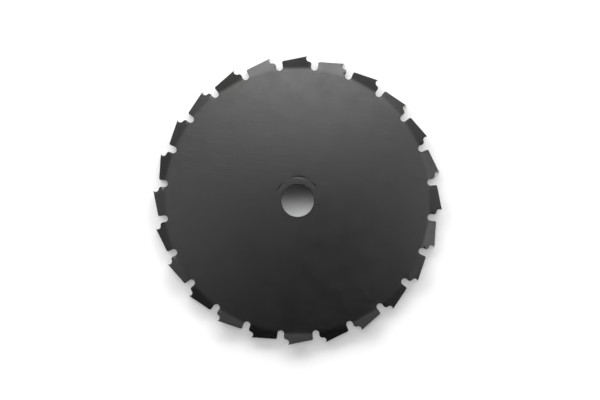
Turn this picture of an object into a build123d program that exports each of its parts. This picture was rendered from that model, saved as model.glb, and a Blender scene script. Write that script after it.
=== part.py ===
from build123d import *
import os
from math import atan, cos, degrees, radians, sin, sqrt, tan

# Brush cutter blade: one steel plate with set and filed saw teeth all round its rim.
# The origin is the middle of the bore, at half the plate's thickness. +Z is the side with
# the ring, and +Y runs through the middle of a tooth that is set towards +Z.
# Seen from +Z the teeth point clockwise, the way the blade turns. Lengths are in mm.

# Plate and bore
tip_diameter = 225.0
plate_thickness = 1.8
bore_diameter = 25.4
bore_chamfer = 0.35

# Shallow ring round the bore, in the +Z face only
ring_diameter = 36.5
ring_width = 1.6
ring_depth = 0.08

# Teeth come in pairs, one set up and the next set down, with a round-bottomed gullet
# in front of each. Depths are measured from the tip circle, along the gullet's middle.
tooth_pairs = 12
gullet_width = 5.18
gullet_depth = 10.6

# Tooth, seen in plan: the fall of the straight back from the tangent at the tip, the round
# corners on both sides of the gullet, and the least straight wall between round and round
clearance_angle = 15.0
heel_radius = 1.3
shoulder_radius = 2.1
straight_wall = 0.3

# Notch that a round file leaves under each tip: the overlap is how far the file's round
# reaches past the gullet's wall, and the angle is its lean from the blade's axis
file_diameter = 4.8
file_depth = 1.8
file_overlap = 0.32
file_angle = 15.0

# Set: how far each tip is bent out of the plate, the height of the bend's middle over
# the gullet's bottom, and the radius of the bend
set_offset = 0.5
bend_rise = 1.25
bend_radius = 50.0

# Places that follow from the sizes
half_thickness = plate_thickness / 2
tip_radius = tip_diameter / 2
file_radius = file_diameter / 2
tooth_count = 2 * tooth_pairs
pitch = 360 / tooth_count
half_pitch = pitch / 2
gullet_bottom = tip_radius - gullet_depth
gullet_centre = gullet_bottom + gullet_width / 2
past_tips = tip_radius + gullet_depth
wedge_slope = tan(radians(half_pitch))

# File and tip, in a frame with the tooth's front gullet on +Y. The leaning file cuts an
# ellipse in the plane of the plate, and the tip is where that crosses the tip circle: each
# step takes the circle's height at the last place found, and four steps are enough.
wall_reach = file_radius - file_overlap
file_setback = gullet_width / 2 + wall_reach
file_height = tip_radius - file_depth
file_half_width = file_radius / cos(radians(file_angle))
tip_setback = file_setback + file_half_width
for step in range(4):
    tip_rise = sqrt(tip_radius**2 - tip_setback**2) - file_height
    tip_setback = file_setback + file_half_width * sqrt(1 - (tip_rise / file_radius) ** 2)
tip_height = sqrt(tip_radius**2 - tip_setback**2)

# The shoulder's round joins the file's round to the gullet's straight wall, and this is
# the largest that still leaves some straight wall over the gullet's round bottom
shoulder_drop = file_height - gullet_centre - straight_wall
shoulder_limit = (shoulder_drop**2 + wall_reach**2 - file_radius**2) / (2 * (file_radius + wall_reach))

# The same points in the tooth's own frame, which has the tooth's middle on +Y
tip = Vector(-tip_setback, tip_height).rotate(Axis.Z, -half_pitch)
file_centre = Vector(-file_setback, file_height).rotate(Axis.Z, -half_pitch)
back_slope = clearance_angle - degrees(atan(tip.X / tip.Y))

# The set tooth leans from the bend line, and an arc joins it to the flat plate
bend_height = gullet_bottom + bend_rise
set_slope = set_offset / (tip.Y - bend_height)
bend_start = bend_height - bend_radius * tan(atan(set_slope) / 2)


# A gullet on +Y, open past the tips
with BuildSketch() as gullet:
    with Locations((0, gullet_centre + gullet_depth)):
        SlotCenterToCenter(2 * gullet_depth, gullet_width, rotation=90)


# Plan of one tooth from its bend outwards, cut from the wedge between two gullet middles
with BuildSketch() as tooth_plan:
    with BuildLine():
        Polyline(
            (-bend_start * wedge_slope, bend_start),
            (bend_start * wedge_slope, bend_start),
            (past_tips * wedge_slope, past_tips),
            (-past_tips * wedge_slope, past_tips),
            close=True,
        )
    make_face()
    # Straight back, falling away behind the tip
    with Locations(Location((tip.X, tip.Y, 0), (0, 0, back_slope))):
        Rectangle(tip_diameter, tip_radius, align=(Align.CENTER, Align.MIN), mode=Mode.SUBTRACT)
    # Gullets in front and behind
    with PolarLocations(0, 2, start_angle=-half_pitch, angular_range=2 * pitch):
        add(gullet.sketch, mode=Mode.SUBTRACT)
    # The file's round, and the open space outside it
    with Locations(Location((file_centre.X, file_centre.Y, 0), (0, 0, -half_pitch))):
        Circle(file_radius, mode=Mode.SUBTRACT)
        Rectangle(tip_radius, tip_radius, align=(Align.MIN, Align.MIN), mode=Mode.SUBTRACT)
    # Shoulder between the gullet and the file's round, the next corner below the tip
    front_corners = tooth_plan.vertices().filter_by(lambda corner: corner.X > 0).sort_by(Axis.Y)
    fillet(front_corners[-2], min(shoulder_radius, shoulder_limit))
    # Heel where the back meets the gullet behind
    back_corners = tooth_plan.vertices().filter_by(lambda corner: corner.X < 0).sort_by(Axis.Y)
    fillet(back_corners[-1], heel_radius)


# A tooth set towards +Z
with BuildPart() as raised_tooth:
    # Section of the bent plate, from inside the bend to beyond the tip
    with BuildSketch(Plane.YZ):
        with BuildLine():
            FilletPolyline(
                (bend_start - bend_radius, -half_thickness),
                (bend_height, -half_thickness),
                (past_tips, (past_tips - bend_height) * set_slope - half_thickness),
                radius=bend_radius,
            )
            offset(amount=plate_thickness, side=Side.LEFT)
        make_face()
    extrude(amount=past_tips * wedge_slope, both=True)
    extrude(tooth_plan.sketch, amount=plate_thickness + set_offset, both=True, mode=Mode.INTERSECT)
    # The file leans, so that the tip stays sharp on the side to which the tooth is set
    outer_face = half_thickness + (file_centre.Y - bend_height) * set_slope
    lean = Vector(sin(radians(file_angle)), 0, cos(radians(file_angle)))
    file_axis = lean.rotate(Axis.Z, -half_pitch)
    with BuildSketch(Plane(origin=(file_centre.X, file_centre.Y, outer_face), z_dir=file_axis)):
        Circle(file_radius)
    extrude(amount=2 * plate_thickness, both=True, mode=Mode.SUBTRACT)


# The next tooth is the same one set towards -Z, with the file leaning the other way
with BuildPart() as lowered_tooth:
    mirror(raised_tooth.part, about=Plane.XY)


with BuildPart() as blade:
    # Flat plate out to the bends, with the round bottoms of the gullets
    with BuildSketch() as plate_plan:
        RegularPolygon(bend_start, tooth_count, major_radius=False, rotation=90 - half_pitch)
        with PolarLocations(0, tooth_count, start_angle=half_pitch):
            add(gullet.sketch, mode=Mode.SUBTRACT)
        Circle(bore_diameter / 2, mode=Mode.SUBTRACT)
    extrude(amount=half_thickness, both=True)
    # Broken edges of the bore
    bore_edges = blade.edges().filter_by(GeomType.CIRCLE).sort_by(SortBy.RADIUS)[-2:]
    chamfer(bore_edges, bore_chamfer)
    # Ring round the bore, cut with a round-nosed tool
    nose_radius = (ring_width**2 / 4 + ring_depth**2) / (2 * ring_depth)
    with BuildSketch(Plane.XZ):
        with Locations((ring_diameter / 2, half_thickness - ring_depth + nose_radius)):
            Circle(nose_radius)
    revolve(axis=Axis.Z, mode=Mode.SUBTRACT)
    # Teeth set up and down in turn
    with PolarLocations(0, tooth_pairs):
        add(raised_tooth.part)
    with PolarLocations(0, tooth_pairs, start_angle=pitch):
        add(lowered_tooth.part)


os.makedirs("parts", exist_ok=True)
blade.part.label = "blade"
export_step(blade.part, "parts/blade.step")
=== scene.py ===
import math

import bmesh
import bpy
from mathutils import Matrix, Vector
from mathutils.geometry import delaunay_2d_cdt


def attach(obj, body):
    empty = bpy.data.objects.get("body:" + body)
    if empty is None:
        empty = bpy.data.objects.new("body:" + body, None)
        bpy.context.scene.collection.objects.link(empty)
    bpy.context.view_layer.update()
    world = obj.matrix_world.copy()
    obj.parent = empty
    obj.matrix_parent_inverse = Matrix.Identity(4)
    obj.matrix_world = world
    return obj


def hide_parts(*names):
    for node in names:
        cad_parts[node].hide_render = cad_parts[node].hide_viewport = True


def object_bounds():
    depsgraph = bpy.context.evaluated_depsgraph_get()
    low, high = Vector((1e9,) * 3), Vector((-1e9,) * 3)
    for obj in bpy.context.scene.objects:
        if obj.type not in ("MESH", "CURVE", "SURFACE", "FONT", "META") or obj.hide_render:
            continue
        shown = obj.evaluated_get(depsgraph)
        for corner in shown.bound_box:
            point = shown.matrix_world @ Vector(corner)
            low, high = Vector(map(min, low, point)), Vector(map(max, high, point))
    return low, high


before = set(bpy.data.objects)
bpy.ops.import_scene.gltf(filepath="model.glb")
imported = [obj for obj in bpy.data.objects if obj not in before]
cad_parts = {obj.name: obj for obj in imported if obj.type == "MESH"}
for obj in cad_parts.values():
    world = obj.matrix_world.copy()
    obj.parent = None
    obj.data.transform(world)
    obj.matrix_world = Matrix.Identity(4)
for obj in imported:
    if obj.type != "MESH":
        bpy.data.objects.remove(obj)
cad_low, cad_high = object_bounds()

# Brush cutter blade on a pale floor, seen from straight above, as in the photograph.
# Lengths are in metres, in the frame of the CAD model: the origin is the middle of the
# bore, and +Z is the side with the ring.
mm = 0.001

# Camera: its height over the plate, how much of the plate's plane the picture's width
# covers, where it stands over that plane, how it is turned, and its sensor's width, which
# alone is in millimetres
camera_height = 0.95
view_width = 0.4671
camera_x = 0.00185
camera_y = 0.00038
camera_roll = math.radians(-0.3)
sensor_width = 36.0

# Floor: it reaches past every view. Under the bore it has a well with a slanted bottom, deeper
# towards +Y, and its paint holds a painted shadow that darkens it towards +Y, for the shadow seen
# in the bore.
floor_radius = 6.0
floor_grey = 0.85
floor_glow = 0.22
well_radius = 14.5 * mm
well_shallow = 4.5 * mm
well_slope = 0.4
# Painted shadow in the well: its darkest grey, its lightest grey, and the places in Y between which
# it fades
well_shadow_grey = 0.43
well_light = 0.95
well_shadow_fade = (8 * mm, -11 * mm)
well_steps = 96

# Studio walls, by X, Y and Z of a direction from the blade: they fade out upwards between two
# heights in Z, go from one level to the other between two places in Y, and weaken towards +X
studio_wall_top = (0.7, 0.9)
studio_wall_sides = (-0.4, -0.2)
studio_wall_levels = (0.17, 0.66)
studio_wall_tilt = -0.15

# The dark ceiling goes from one level to the other between two places in X. The lowest part
# of the sky is white to the camera and in metal, and fades out between two heights in Z.
ceiling_sides = (-0.5, 0.5)
ceiling_levels = (0.016, 0.0005)
horizon_fade = (0.2, 0.14)

# Soft boxes in the ceiling: the middle, half the size and half the width of the soft edges,
# each in X and Y of a direction, and the strength. They start between two heights in Z.
soft_boxes = (
    ((0.0, 0.371), (0.028, 0.283), (0.161, 0.074), 4.8),
    ((0.212, -0.015), (0.054, 0.054), (0.077, 0.077), 1.9),
    ((-0.15, -0.015), (0.056, 0.054), (0.077, 0.077), 0.72),
)
soft_box_fade = (0.0, 0.1)

# A row of low lamps on the side of +Y: the angle of each from it, counter-clockwise and in
# degrees, and their height over the floor, breadth and strength
lamp_turns = (46, 26, 6, -14, -34)
lamp_height = math.radians(5.5)
lamp_breadth = math.radians(16)
lamp_strength = 4.2

# Colours of the steel: the satin plate and the punched walls, each between two shades, faint
# tarnish, bare metal where it is filed or worn, and painted shade at the bore's edge and in the
# mark
plate_dark = (0.197, 0.197, 0.197)
plate_light = (0.215, 0.215, 0.215)
punched_dark = (0.2, 0.2, 0.2)
punched_light = (0.32, 0.32, 0.32)
tarnish_colour = (0.205, 0.21, 0.196)
bare_colour = (0.45, 0.45, 0.45)
painted_shade_colour = (0.04, 0.04, 0.038)

# Noises in the steel, by the size of their features along X, Y and Z: clouds and fine grain
# in the finish, rolling lines turned about Z, and streaks down the punched walls
cloud_size = (14 * mm, 14 * mm, 14 * mm)
grain_size = (0.5 * mm, 0.5 * mm, 0.5 * mm)
rolling_size = (25 * mm, 0.35 * mm, 25 * mm)
rolling_turn = math.radians(8)
streak_size = (0.25 * mm, 0.25 * mm, 6 * mm)

# Hairlines: a noise stretched along them in two directions, its middle value and how far from
# it they reach, and another noise that breaks them up, with the values between which they start
hairline_size = (160 * mm, 1.6 * mm, 160 * mm)
hairline_turns = (0.5, -1.1)
hairline_middle = 0.5
hairline_reach = 0.02
hairline_gap_size = (30 * mm, 6 * mm, 30 * mm)
hairline_gap_range = (0.56, 0.66)

# Tarnish: the middle and the reach of each patch, the share of the reach in which it is full,
# and the noise that breaks it up, with the values between which it starts
tarnish_spots = (((86 * mm, 69 * mm, 0), 14 * mm), ((-48 * mm, 94 * mm, 0), 14 * mm))
tarnish_core = 0.3
tarnish_size = (8 * mm, 8 * mm, 8 * mm)
tarnish_range = (0.3, 0.6)

# How the noises and the marks on the mesh turn into colour: the values at which each starts
# and is full, the band of cut that is a worn edge, and how much of the bare metal shows, or
# of the painted shade at the bore's edge at its least
cloud_range = (0.25, 0.75)
rolling_range = (0.4, 0.65)
rolling_share = 0.08
hairline_share = 0.06
filed_share = 0.9
edge_band = (0.5, 0.2, 0.3)
edge_wear_range = (0.35, 0.6)
edge_wear_shares = (0.2, 0.8)
bore_shade_least = 0.75

# Roughness of the dark and the light clouds, and what the rolling lines, the hairlines and
# the punched walls add to it
cloud_roughness = (0.215, 0.185)
rolling_roughness_range = (0.3, 0.7)
rolling_roughness = 0.01
hairline_roughness = 0.02
punched_roughness = 0.15

# Relief: the height of the grain and of the streaks, and the rolling lines' share of the first
grain_relief = 0.0003 * mm
streak_relief = 0.004 * mm
rolling_relief = 0.6

# Sizes of the blade, the same as in the CAD source
tip_radius = 112.5 * mm
plate_thickness = 1.8 * mm
bore_radius = 12.7 * mm
bore_chamfer = 0.35 * mm
tooth_pairs = 12
gullet_width = 5.18 * mm
gullet_depth = 10.6 * mm
clearance_angle = math.radians(15)
heel_radius = 1.3 * mm
shoulder_radius = 2.1 * mm
file_radius = 2.4 * mm
file_depth = 1.8 * mm
file_overlap = 0.32 * mm
file_lean = math.radians(15)
set_offset = 0.5 * mm
bend_rise = 1.25 * mm
bend_radius = 50 * mm

# The ring shows as a worn mark of a flange that sat askew: its own radius, how far its
# middle lies towards +Y, its width, how much steeper its outer side is, its full depth, how
# dark painted shade makes its outer side, and the parts of it that are left, each with its middle
# and half-width in degrees clockwise from +Y and its share of the depth
mark_radius = 15.5 * mm
mark_offset = 2.8 * mm
mark_width = 2.5 * mm
mark_lean = 0.5
mark_depth = 0.035 * mm
mark_shade_strength = 0.95
mark_parts = ((5, 27, 1.0), (-54, 20, 1.0), (48, 15, 0.9))

# What the mesh says of each of its points: how far it is filed, cut or darkened by painted shade,
# from 0 to 1
mark_names = ("filed", "cut", "mark_shade")

# Broken edges, where the mesh's flat middle ends, how finely rounds and rows are divided, the
# steps that find the tip, how near points are one, and the angle at which an edge is sharp
edge_round = 0.08 * mm
web_radius = 30 * mm
steps_per_tooth = 10
round_steps = 10
edge_steps = 3
ring_steps = 8
wall_steps = 8
back_steps = 7
bend_rows = 9
row_step = 1.2 * mm
tip_steps = 4
same_point = 1e-6 * mm
weld_distance = 0.002 * mm
sharp_angle = math.radians(40)

# Places that follow from the sizes
half_thickness = plate_thickness / 2
tooth_count = 2 * tooth_pairs
pitch = 2 * math.pi / tooth_count
half_pitch = pitch / 2
gullet_bottom = tip_radius - gullet_depth
gullet_centre = gullet_bottom + gullet_width / 2
row_margin = gullet_width
wall_reach = file_radius - file_overlap
file_setback = gullet_width / 2 + wall_reach
file_height = tip_radius - file_depth
file_half_width = file_radius / math.cos(file_lean)
file_centre = Vector((-file_setback, file_height))
shoulder_span = file_radius + shoulder_radius
shoulder_reach = math.sqrt(shoulder_span**2 - (wall_reach - shoulder_radius) ** 2)
shoulder_centre = Vector((-gullet_width / 2 - shoulder_radius, file_height - shoulder_reach))

# The tip is where the leaning file's ellipse crosses the tip circle, found in a few steps
tip_setback = file_setback + file_half_width
for step in range(tip_steps):
    tip_rise = math.sqrt(tip_radius**2 - tip_setback**2) - file_height
    tip_setback = file_setback + file_half_width * math.sqrt(1 - (tip_rise / file_radius) ** 2)
tip_plan = Vector((-tip_setback, math.sqrt(tip_radius**2 - tip_setback**2)))


def turned(point, angle):
    """A plan point or direction turned counter-clockwise about the bore."""
    return Matrix.Rotation(angle, 2) @ point


def heading(direction):
    """The angle of a plan direction, counter-clockwise from +X."""
    return math.atan2(direction.y, direction.x)


tip = turned(tip_plan, -half_pitch)
back_angle = clearance_angle - math.atan2(tip.x, tip.y)
back_direction = Vector((-math.cos(back_angle), -math.sin(back_angle)))
bend_height = gullet_bottom + bend_rise
set_slope = set_offset / (tip.y - bend_height)
set_angle = math.atan(set_slope)
bend_start = bend_height - bend_radius * math.tan(set_angle / 2)


def rise(y, radius):
    """How far a face of a raised tooth stands over the plate, with a bend of that radius."""
    bend_length = radius * math.sin(set_angle)
    if y <= bend_start:
        return 0.0
    if y - bend_start < bend_length:
        return radius - math.sqrt(radius**2 - (y - bend_start) ** 2)
    return radius * (1 - math.cos(set_angle)) + (y - bend_start - bend_length) * set_slope


def arc(centre, radius, start, end, count):
    """count + 1 points on a round, each with the direction away from its centre."""
    points = []
    for step in range(count + 1):
        angle = start + (end - start) * step / count
        away = Vector((math.cos(angle), math.sin(angle)))
        points.append((centre + radius * away, away))
    return points


def corner_round(corner, first, second, radius, count):
    """The round between two straight lines that leave the corner in these directions."""
    half = first.angle(second) / 2
    centre = corner + (first + second).normalized() * radius / math.sin(half)
    start = corner + first * radius / math.tan(half) - centre
    end = corner + second * radius / math.tan(half) - centre
    start_angle = heading(start)
    sweep = start.angle_signed(end)
    return arc(centre, radius, start_angle, start_angle - sweep, count)


def crossing(point, direction, other_point, other_direction):
    """Where two lines in the plan cross."""
    across = Vector((-other_direction.y, other_direction.x))
    return point + direction * (other_point - point).dot(across) / direction.dot(across)


def straight(start, end, normal, count):
    """Points that divide a straight edge into so many steps, its two ends left out."""
    return [(start.lerp(end, step / count), normal) for step in range(1, count)]


def notch(depth):
    """The file's round in the front gullet's frame, at a depth under the tooth's sharp side."""
    centre = file_centre - Vector((depth * math.tan(file_lean), 0))
    back_point = turned(tip, half_pitch)
    back_line = turned(back_direction, half_pitch)
    # Stretched so that the leaning round is a true one, the back line meets it at the tip
    stretch = Vector((file_radius / file_half_width, 1))
    start = (back_point - centre) * stretch
    along = (back_line * stretch).normalized()
    reach = start.dot(along)
    start += along * (math.sqrt(reach**2 - start.length_squared + file_radius**2) - reach)
    first = heading(start) % (2 * math.pi)
    last = heading(shoulder_centre - file_centre) % (2 * math.pi)
    points = []
    for step in range(round_steps):
        angle = first + (last - first) * step / round_steps
        away = Vector((math.cos(angle), math.sin(angle)))
        place = centre + Vector((file_half_width * away.x, file_radius * away.y))
        inward = -Vector((away.x / file_half_width, away.y / file_radius)).normalized()
        points.append((place, inward))
    return points


def outline(depth):
    """One tooth's edge, from the gullet behind to that in front, at a depth under its sharp side.

    Each point has the directions out of the metal just before it and just after it, and 1
    where the file has been, 0 elsewhere.
    """
    quarter = math.pi / 2
    hollow = Vector((0, gullet_centre))
    half_width = gullet_width / 2
    # Gullet behind, up to the heel
    points = []
    for place, away in arc(hollow, half_width, -quarter, 0, round_steps):
        points.append((turned(place, half_pitch), turned(-away, half_pitch)))
    wall_foot, wall_normal = points[-1]
    wall_direction = turned(Vector((0, 1)), half_pitch)
    heel_corner = crossing(wall_foot, wall_direction, tip, back_direction)
    heel = corner_round(heel_corner, -wall_direction, -back_direction, heel_radius, round_steps)
    points += straight(wall_foot, heel[0][0], wall_normal, wall_steps)
    points += heel
    # Back, up to the tip
    filed = []
    for place, normal in notch(depth):
        filed.append((turned(place, -half_pitch), turned(normal, -half_pitch)))
    back_normal = Vector((back_direction.y, -back_direction.x))
    points += straight(heel[-1][0], filed[0][0], back_normal, back_steps)
    # Shoulder and the gullet in front
    start = heading(file_centre - shoulder_centre)
    rest = arc(shoulder_centre, shoulder_radius, start, 0, round_steps)
    gullet = arc(hollow, half_width, 2 * quarter, 3 * quarter, round_steps)
    rest += straight(rest[-1][0], gullet[0][0], Vector((1, 0)), wall_steps)
    rest += [(place, -away) for place, away in gullet]
    front = [(turned(place, -half_pitch), turned(normal, -half_pitch)) for place, normal in rest]
    edge = [(place, normal, normal, 0.0) for place, normal in points]
    edge += [(place, normal, normal, 1.0) for place, normal in filed]
    edge += [(place, normal, normal, 0.0) for place, normal in front]
    corner = len(points)
    edge[corner] = (edge[corner][0], back_normal, edge[corner][2], 1.0)
    return edge


def inset(point, distance):
    """A point of the outline moved into the metal, so that its edges move by that distance."""
    place, before, after, _ = point
    return place - (before + after) * distance / (1 + before.dot(after))


def cap(rim, bend_length):
    """Triangles over one tooth's share of the plate, from web to rim, as plan points and faces."""
    web = []
    for step in range(steps_per_tooth + 1):
        web.append(turned(Vector((0, web_radius)), half_pitch - pitch * step / steps_per_tooth))
    border = web + rim[::-1]
    # Rows of points across the bend, well clear of the edges beside them
    inside = []
    for row in range(bend_rows + 1):
        y = bend_start + bend_length * row / bend_rows
        half_width = (y - row_margin) * math.tan(half_pitch) - row_margin
        count = round(2 * half_width / row_step)
        inside += [Vector((half_width * (2 * step / count - 1), y)) for step in range(count + 1)]
    # The triangles are made in millimetres, and only those inside the border are kept
    flat = [point / mm for point in border + inside]
    edge = list(range(len(border)))
    places, _, faces, _, _, _ = delaunay_2d_cdt(flat, [], [edge], 1, same_point / mm)
    return [point * mm for point in places], faces


def face_height(y, side):
    """The height of a raised tooth's face over the middle of the plate, for its side 1 or -1."""
    radius = bend_radius - plate_thickness if side > 0 else bend_radius
    return side * half_thickness + rise(y, radius)


def add_tooth(shell, marks, number):
    """One tooth's share of the plate: two faces, the wall round them, and the broken edges."""
    side = 1 if number % 2 == 0 else -1
    turn = Matrix.Rotation(number * pitch, 3, "Z")

    def corner(point, height, filed=0.0, cut=0.0):
        vertex = shell.verts.new(turn @ Vector((point.x, point.y, side * height)))
        vertex[marks["filed"]] = filed
        vertex[marks["cut"]] = cut
        return vertex

    rows = []
    for face, depth in ((1, 0.0), (-1, plate_thickness)):
        edge = outline(depth)
        turns = [math.pi / 2 * step / edge_steps for step in range(edge_steps + 1)]
        for angle in turns[::face]:
            share = math.sin(angle)
            row = []
            for point in edge:
                place = inset(point, edge_round * (1 - share))
                height = face_height(place.y, face) - face * edge_round * (1 - math.cos(angle))
                row.append(corner(place, height, point[3] * share, share))
            rows.append(row)
        rim = [inset(point, edge_round) for point in edge]
        places, faces = cap(rim, bend_radius * math.sin(set_angle))
        spots = [corner(place, face_height(place.y, face)) for place in places]
        for triangle in faces:
            shell.faces.new([spots[index] for index in triangle])
    for upper, lower in zip(rows, rows[1:]):
        for index in range(len(upper) - 1):
            shell.faces.new((upper[index], upper[index + 1], lower[index + 1], lower[index]))


def mark_place(angle):
    """The mark's radius about the bore, and how much of its depth is left, at an angle from +Y."""
    across = mark_offset * math.sin(angle)
    radius = mark_offset * math.cos(angle) + math.sqrt(mark_radius**2 - across**2)
    share = 0.0
    for middle, half_width, part in mark_parts:
        away = abs(math.degrees(-angle) - middle) / half_width
        share += part * (1 + math.cos(math.pi * away)) / 2 if away < 1 else 0.0
    return max(radius, bore_radius + bore_chamfer + mark_width), share


def add_web(shell, marks):
    """The flat middle of the plate, with the ring and the bore."""
    count = tooth_count * steps_per_tooth
    rows = []
    for step in range(count):
        angle = half_pitch - 2 * math.pi * step / count
        middle, share = mark_place((angle + math.pi) % (2 * math.pi) - math.pi)
        profile = [(web_radius, half_thickness, 0.0, 0.0)]
        for ring_step in range(ring_steps + 1):
            offset = 1 - 2 * ring_step / ring_steps
            depth = mark_depth * share * (1 - offset**2) * (1 + mark_lean * offset)
            # Painted shade on the outer half of the mark
            mark_shade = share * max(0.0, math.sin(math.pi * offset))
            profile.append((middle + offset * mark_width / 2, half_thickness - depth, 0.0, mark_shade))
        profile += [
            (bore_radius + bore_chamfer, half_thickness, 0.0, 0.0),
            (bore_radius, half_thickness - bore_chamfer, 1.0, 0.0),
            (bore_radius, bore_chamfer - half_thickness, 1.0, 0.0),
            (bore_radius + bore_chamfer, -half_thickness, 0.0, 0.0),
            (web_radius, -half_thickness, 0.0, 0.0),
        ]
        row = []
        for radius, height, cut, mark_shade in profile:
            place = turned(Vector((0, radius)), angle)
            vertex = shell.verts.new((place.x, place.y, height))
            vertex[marks["cut"]] = cut
            vertex[marks["mark_shade"]] = mark_shade
            row.append(vertex)
        rows.append(row)
    for row, other in zip(rows, rows[1:] + rows[:1]):
        for index in range(len(row) - 1):
            shell.faces.new((row[index], other[index], other[index + 1], row[index + 1]))


def make_blade():
    """The blade with finer rounds and broken edges, which stands for the CAD model's."""
    shell = bmesh.new()
    marks = {name: shell.verts.layers.float.new(name) for name in mark_names}
    add_web(shell, marks)
    for number in range(tooth_count):
        add_tooth(shell, marks, number)
    bmesh.ops.remove_doubles(shell, verts=shell.verts, dist=weld_distance)
    bmesh.ops.recalc_face_normals(shell, faces=shell.faces)
    for edge in shell.edges:
        edge.smooth = not edge.is_manifold or edge.calc_face_angle() < sharp_angle
    for face in shell.faces:
        face.smooth = True
    mesh = bpy.data.meshes.new("blade_look")
    shell.to_mesh(mesh)
    shell.free()
    blade = bpy.data.objects.new("blade_look", mesh)
    bpy.context.scene.collection.objects.link(blade)
    level = blade.modifiers.new("level_faces", "WEIGHTED_NORMAL")
    level.keep_sharp = True
    return blade


def add_node(tree, kind, inputs=None, **settings):
    """A new node with its settings. An input is a value or another node's output."""
    made = tree.nodes.new(kind)
    for name, value in settings.items():
        setattr(made, name, value)
    for name, value in (inputs or {}).items():
        if isinstance(value, bpy.types.NodeSocket):
            tree.links.new(value, made.inputs[name])
        else:
            made.inputs[name].default_value = value
    return made


def maths(tree, operation, *values):
    """The result of a Math node."""
    return add_node(tree, "ShaderNodeMath", dict(enumerate(values)), operation=operation).outputs[0]


def fade(tree, value, start, end, low=0.0, high=1.0):
    """low where value is at start, high where it is at end, with a smooth step between."""
    places = {"Value": value, "From Min": start, "From Max": end, "To Min": low, "To Max": high}
    made = add_node(tree, "ShaderNodeMapRange", places, interpolation_type="SMOOTHSTEP")
    return made.outputs["Result"]


def blend(tree, share, first, second):
    """The first colour where share is 0, the second where it is 1."""
    mix = add_node(tree, "ShaderNodeMix", {"Factor": share}, data_type="RGBA")
    for socket, colour in (("A_Color", first), ("B_Color", second)):
        place = next(other for other in mix.inputs if other.identifier == socket)
        if isinstance(colour, bpy.types.NodeSocket):
            tree.links.new(colour, place)
        else:
            place.default_value = (*colour, 1)
    return next(other for other in mix.outputs if other.identifier == "Result_Color")


def band(tree, value, middle, half, edge):
    """1 inside a band of values, 0 outside it, with soft sides."""
    low = fade(tree, value, middle - half - edge, middle - half + edge)
    high = fade(tree, value, middle + half + edge, middle + half - edge)
    return maths(tree, "MULTIPLY", low, high)


def background_rays(tree):
    """1 for rays that show the background: the camera's own, and those seen in metal and glass."""
    path = add_node(tree, "ShaderNodeLightPath")
    seen = path.outputs["Is Camera Ray"]
    for other in ("Is Glossy Ray", "Is Transmission Ray"):
        seen = maths(tree, "MAXIMUM", seen, path.outputs[other])
    return seen


def soft_box(tree, direction, centre, half_size, edges, level):
    """Light from a rectangle of the ceiling, placed by X and Y of the direction."""
    sides = zip("XY", centre, half_size, edges)
    shares = [band(tree, direction.outputs[axis], *side) for axis, *side in sides]
    above = fade(tree, direction.outputs["Z"], *soft_box_fade, 0.0, level)
    return maths(tree, "MULTIPLY", maths(tree, "MULTIPLY", *shares), above)


def make_studio():
    """A dark ceiling with soft boxes, pale walls all round, and a white background low down."""
    world = bpy.data.worlds.new("studio")
    bpy.context.scene.world = world
    world.use_nodes = True
    tree = world.node_tree
    tree.nodes.clear()
    place = add_node(tree, "ShaderNodeTexCoord")
    direction = add_node(tree, "ShaderNodeSeparateXYZ", {0: place.outputs["Generated"]})
    x, y, z = (direction.outputs[axis] for axis in "XYZ")
    height = fade(tree, z, *studio_wall_top, 1.0, 0.0)
    walls = maths(tree, "MULTIPLY", height, fade(tree, y, *studio_wall_sides, *studio_wall_levels))
    walls = maths(tree, "MULTIPLY", walls, maths(tree, "MULTIPLY_ADD", x, studio_wall_tilt, 1.0))
    light = maths(tree, "ADD", walls, fade(tree, x, *ceiling_sides, *ceiling_levels))
    for box in soft_boxes:
        light = maths(tree, "ADD", light, soft_box(tree, direction, *box))
    horizon = maths(tree, "MULTIPLY", background_rays(tree), fade(tree, z, *horizon_fade))
    light = maths(tree, "MAXIMUM", light, horizon)
    background = add_node(tree, "ShaderNodeBackground", {"Color": (1, 1, 1, 1), "Strength": light})
    add_node(tree, "ShaderNodeOutputWorld", {"Surface": background.outputs[0]})


def make_low_lamp(name, turn):
    """A broad low lamp behind the blade, for its soft shadow. It makes no glare in the metal."""
    lamp = bpy.data.lights.new(name, "SUN")
    lamp.energy = lamp_strength
    lamp.angle = lamp_breadth
    holder = bpy.data.objects.new(name, lamp)
    holder.rotation_euler = (lamp_height - math.pi / 2, 0, turn)
    holder.visible_glossy = False
    bpy.context.scene.collection.objects.link(holder)


def make_camera():
    """A camera straight above the blade, as the photograph's."""
    lens = bpy.data.cameras.new("camera")
    lens.sensor_width = sensor_width
    lens.lens = sensor_width * camera_height / view_width
    camera = bpy.data.objects.new("camera", lens)
    camera.location = (camera_x, camera_y, camera_height)
    camera.rotation_euler = (0, 0, camera_roll)
    bpy.context.scene.collection.objects.link(camera)
    bpy.context.scene.camera = camera


def paint(name, grey, glow):
    """Matt paint. Its glow shows to the camera and in metal, and lights nothing."""
    mat = bpy.data.materials.new(name)
    mat.use_nodes = True
    tree = mat.node_tree
    shader = tree.nodes["Principled BSDF"]
    shader.inputs["Base Color"].default_value = (grey, grey, grey, 1)
    shader.inputs["Roughness"].default_value = 1.0
    shader.inputs["Specular IOR Level"].default_value = 0.0
    if glow:
        shader.inputs["Emission Color"].default_value = (1, 1, 1, 1)
        strength = maths(tree, "MULTIPLY", background_rays(tree), glow)
        tree.links.new(strength, shader.inputs["Emission Strength"])
    return mat


def well_shadow_paint():
    """Matt paint with a painted shadow: it darkens towards +Y."""
    mat = paint("well_shadow_paint", well_light, 0)
    tree = mat.node_tree
    place = add_node(tree, "ShaderNodeTexCoord").outputs["Object"]
    y = add_node(tree, "ShaderNodeSeparateXYZ", {0: place}).outputs["Y"]
    # Painted shadow: the grey darkens towards +Y
    grey = fade(tree, y, *well_shadow_fade, well_shadow_grey, well_light)
    tree.links.new(grey, tree.nodes["Principled BSDF"].inputs["Base Color"])
    return mat


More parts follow.
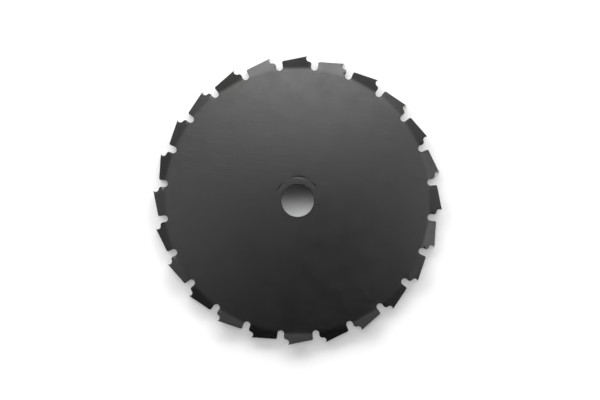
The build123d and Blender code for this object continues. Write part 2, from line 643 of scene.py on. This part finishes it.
def make_floor():
    """A wide pale floor, with a well under the bore that catches the bore's shadow, deepened by a
    painted shadow in its paint.
    """
    build = bmesh.new()
    rings = [[], [], []]
    for step in range(well_steps):
        away = turned(Vector((0, 1)), 2 * math.pi * step / well_steps)
        depth = well_shallow + well_radius * (1 + away.y) * well_slope
        radii = (floor_radius, well_radius, well_radius)
        for ring, radius, drop in zip(rings, radii, (0, 0, depth)):
            ring.append(build.verts.new((away.x * radius, away.y * radius, cad_low.z - drop)))
    for outer, inner in zip(rings, rings[1:]):
        for step in range(well_steps):
            after = (step + 1) % well_steps
            face = build.faces.new((outer[step], outer[after], inner[after], inner[step]))
            face.material_index = 0 if outer is rings[0] else 1
    build.faces.new(rings[-1]).material_index = 1
    mesh = bpy.data.meshes.new("floor")
    build.to_mesh(mesh)
    build.free()
    mesh.materials.append(paint("floor_paint", floor_grey, floor_glow))
    mesh.materials.append(well_shadow_paint())
    floor = bpy.data.objects.new("floor", mesh)
    bpy.context.scene.collection.objects.link(floor)


def noise(tree, place, sizes, turn=0.0, detail=2.0):
    """Noise from 0 to 1 with features of these sizes along X, Y and Z, turned about Z."""
    scale = tuple(1 / size for size in sizes)
    turned_place = add_node(tree, "ShaderNodeVectorRotate", {"Vector": place, "Angle": turn})
    places = {0: turned_place.outputs[0], 1: scale}
    scaled = add_node(tree, "ShaderNodeVectorMath", places, operation="MULTIPLY")
    inputs = {"Vector": scaled.outputs[0], "Scale": 1.0, "Detail": detail}
    return add_node(tree, "ShaderNodeTexNoise", inputs).outputs[0]


def hairlines(tree, place, turn):
    """Thin, long, slightly wandering scratches: where a stretched noise crosses its middle."""
    field = noise(tree, place, hairline_size, turn, detail=0.0)
    away = maths(tree, "ABSOLUTE", maths(tree, "SUBTRACT", field, hairline_middle))
    gaps = noise(tree, place, hairline_gap_size, turn, detail=1.0)
    broken = fade(tree, gaps, *hairline_gap_range)
    return maths(tree, "MULTIPLY", fade(tree, away, hairline_reach, 0.0), broken)


def tarnish(tree, place, spot, reach):
    """How tarnished the plate is near a spot: a broken patch that fades outwards."""
    places = {0: place, 1: spot}
    offset = add_node(tree, "ShaderNodeVectorMath", places, operation="DISTANCE").outputs["Value"]
    cloud = fade(tree, noise(tree, place, tarnish_size), *tarnish_range)
    return maths(tree, "MULTIPLY", fade(tree, offset, reach, tarnish_core * reach), cloud)


def steel_fields(tree, place):
    """The marks on the mesh and the noises that the steel's colour, roughness and relief share."""
    field = {}
    for name in mark_names:
        field[name] = add_node(tree, "ShaderNodeAttribute", attribute_name=name).outputs["Fac"]
    field["cloud"] = noise(tree, place, cloud_size, detail=4.0)
    field["grain"] = noise(tree, place, grain_size, detail=3.0)
    field["rolling"] = noise(tree, place, rolling_size, rolling_turn, detail=3.0)
    field["streaks"] = noise(tree, place, streak_size)
    lines = [hairlines(tree, place, turn) for turn in hairline_turns]
    field["hairlines"] = maths(tree, "MAXIMUM", *lines)
    return field


def plate_colour(tree, place, field):
    """The plate's faces: clouds, rolling lines, tarnish and hairlines, all faint."""
    colour = blend(tree, fade(tree, field["cloud"], *cloud_range), plate_dark, plate_light)
    lines = fade(tree, field["rolling"], *rolling_range, 0.0, rolling_share)
    colour = blend(tree, lines, colour, bare_colour)
    for spot, reach in tarnish_spots:
        colour = blend(tree, tarnish(tree, place, spot, reach), colour, tarnish_colour)
    scratches = maths(tree, "MULTIPLY", field["hairlines"], hairline_share)
    return blend(tree, scratches, colour, bare_colour)


def painted_shade(tree, place, field):
    """Painted shade on the bore's edge, less of it towards -Y, and on the outer side of the worn
    mark round it.
    """
    length = add_node(tree, "ShaderNodeVectorMath", {0: place}, operation="LENGTH")
    start, end = bore_radius + 2 * bore_chamfer, bore_radius + bore_chamfer
    bore_edge = fade(tree, length.outputs["Value"], start, end)
    y = add_node(tree, "ShaderNodeSeparateXYZ", {0: place}).outputs["Y"]
    # Painted shade along the bore's edge, strongest towards +Y
    bore_shade = maths(tree, "MULTIPLY", bore_edge, fade(tree, y, -bore_radius, 0.0, bore_shade_least, 1.0))
    return maths(tree, "MAXIMUM", bore_shade, maths(tree, "MULTIPLY", field["mark_shade"], mark_shade_strength))


def steel_colour(tree, place, field):
    """The plate with its punched walls, bare filed notches, worn edges, and painted shade at the
    bore's edge and the mark.
    """
    colour = plate_colour(tree, place, field)
    wall = blend(tree, field["streaks"], punched_dark, punched_light)
    colour = blend(tree, field["cut"], colour, wall)
    colour = blend(tree, maths(tree, "MULTIPLY", field["filed"], filed_share), colour, bare_colour)
    wear = fade(tree, field["cloud"], *edge_wear_range, *edge_wear_shares)
    wear = maths(tree, "MULTIPLY", band(tree, field["cut"], *edge_band), wear)
    colour = blend(tree, wear, colour, bare_colour)
    # Painted shade at the bore's edge and on the mark's outer side
    return blend(tree, painted_shade(tree, place, field), colour, painted_shade_colour)


def steel_roughness(tree, field):
    """Satin, rougher in its dark clouds, in the hairlines and on the punched walls."""
    rough = fade(tree, field["cloud"], *cloud_range, *cloud_roughness)
    limits = (*rolling_roughness_range, -rolling_roughness, rolling_roughness)
    rough = maths(tree, "ADD", rough, fade(tree, field["rolling"], *limits))
    for name, share in (("hairlines", hairline_roughness), ("cut", punched_roughness)):
        rough = maths(tree, "ADD", rough, maths(tree, "MULTIPLY", field[name], share))
    return rough


def steel_relief(tree, field):
    """Fine grain and rolling lines all over, and streaks down the punched walls."""
    streaks = maths(tree, "MULTIPLY", field["streaks"], streak_relief / grain_relief)
    streaks = maths(tree, "MULTIPLY", field["cut"], streaks)
    lines = maths(tree, "MULTIPLY", field["rolling"], rolling_relief)
    relief = maths(tree, "ADD", maths(tree, "ADD", field["grain"], lines), streaks)
    inputs = {"Height": relief, "Distance": grain_relief, "Strength": 1.0}
    return add_node(tree, "ShaderNodeBump", inputs).outputs[0]


def steel():
    """Dark satin steel, as the blade is all over."""
    mat = bpy.data.materials.new("blade_steel_look")
    mat.use_nodes = True
    tree = mat.node_tree
    shader = tree.nodes["Principled BSDF"]
    shader.inputs["Metallic"].default_value = 1.0
    place = add_node(tree, "ShaderNodeTexCoord").outputs["Object"]
    field = steel_fields(tree, place)
    tree.links.new(steel_colour(tree, place, field), shader.inputs["Base Color"])
    tree.links.new(steel_roughness(tree, field), shader.inputs["Roughness"])
    tree.links.new(steel_relief(tree, field), shader.inputs["Normal"])
    return mat


blade = make_blade()
blade.data.materials.append(steel())
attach(blade, "root")
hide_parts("blade")
make_studio()
for number, turn in enumerate(lamp_turns):
    make_low_lamp(f"low_lamp_{number}", math.radians(turn))
make_camera()
make_floor()
bpy.context.scene.view_settings.view_transform = "Standard"
